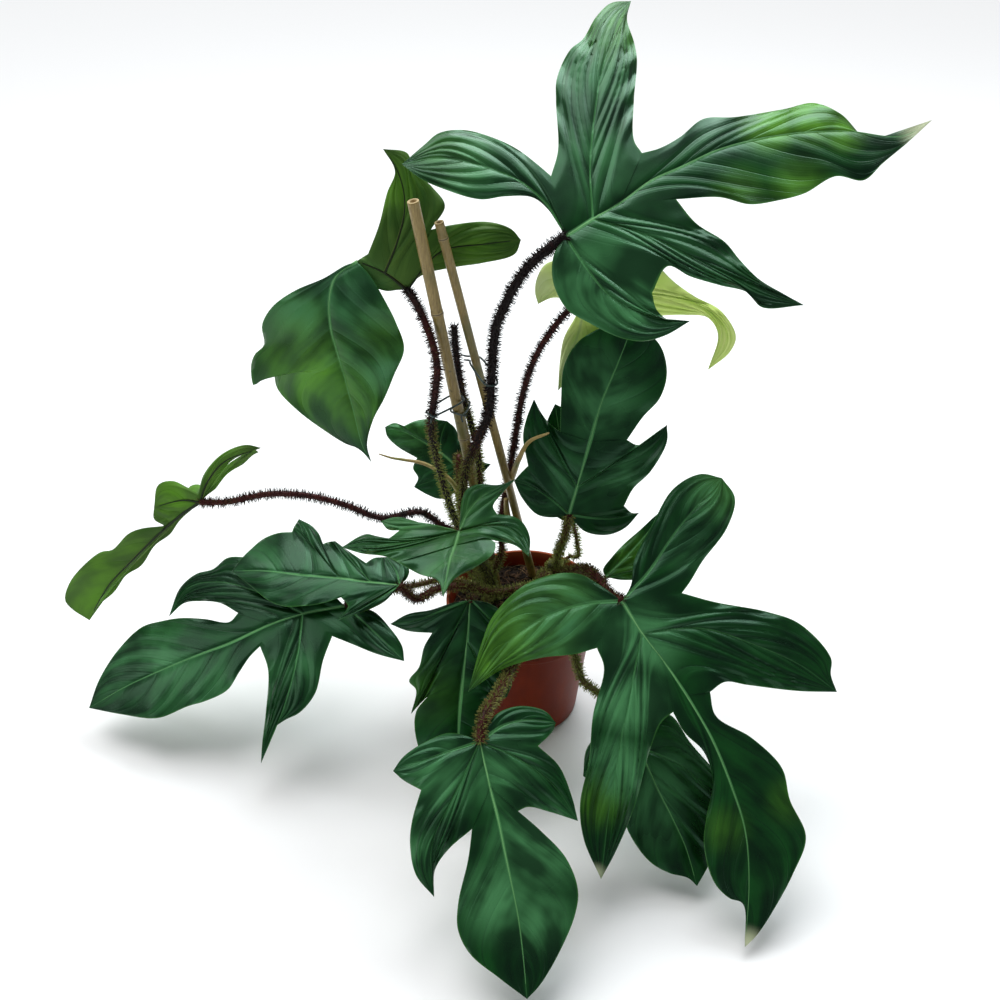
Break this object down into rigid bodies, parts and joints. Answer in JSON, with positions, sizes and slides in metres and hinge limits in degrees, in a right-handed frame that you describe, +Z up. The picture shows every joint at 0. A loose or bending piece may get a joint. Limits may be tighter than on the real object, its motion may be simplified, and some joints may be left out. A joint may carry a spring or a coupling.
{
  "type": "potted philodendron squamiferum",
  "caption": "Potted climbing aroid with five-lobed glossy leaves on bristly stalks, tied to bamboo canes in a terracotta-coloured nursery pot.",
  "frame": {"origin": "centre of the pot's base, on the surface it stands on", "axes": "+Z up, -Y towards the front view, +X to the right in that view"},
  "size_m": [0.8968, 0.627, 0.716],
  "materials": {
    "leaf_green": "gloss",
    "leaf_pale": "gloss",
    "leaf_lime": "satin",
    "stalk": "matte",
    "stem": "matte",
    "sheath": "satin",
    "bamboo": "satin",
    "wire": "satin",
    "soil": "matte",
    "pot_plastic": "satin"
  },
  "bodies": {
    "root": {"pot": "pot_plastic", "soil": "soil", "stem_left": "stem", "stem_right": "stem", "cane_left": "bamboo", "cane_middle": "bamboo", "blade_top": "leaf_green", "blade_lime": "leaf_lime", "blade_folded": "leaf_green", "blade_middle": "leaf_green", "blade_hidden": "leaf_green", "blade_back": "leaf_green", "blade_pale": "leaf_pale", "blade_far_left": "leaf_green", "blade_left_upper": "leaf_green", "blade_left_lower": "leaf_green", "blade_pot_front": "leaf_green", "blade_front": "leaf_green", "blade_right": "leaf_green", "blade_right_low": "leaf_green", "blade_small": "leaf_green", "petiole_top": "stalk", "petiole_lime": "stalk", "petiole_folded": "stalk", "petiole_middle": "stalk", "petiole_hidden": "stalk", "petiole_back": "stalk", "petiole_pale": "stalk", "petiole_far_left": "stalk", "petiole_left_upper": "stalk", "petiole_left_lower": "stalk", "petiole_pot_front": "stalk", "petiole_front": "stalk", "petiole_right": "stalk", "petiole_right_low": "stalk", "petiole_small": "stalk", "stalk_cut": "stalk", "sheath_right": "sheath", "sheath_left": "sheath", "sheath_dry": "sheath", "tie_upper": "wire", "tie_middle": "wire", "tie_lower": "wire"}
  },
  "joints": []
}
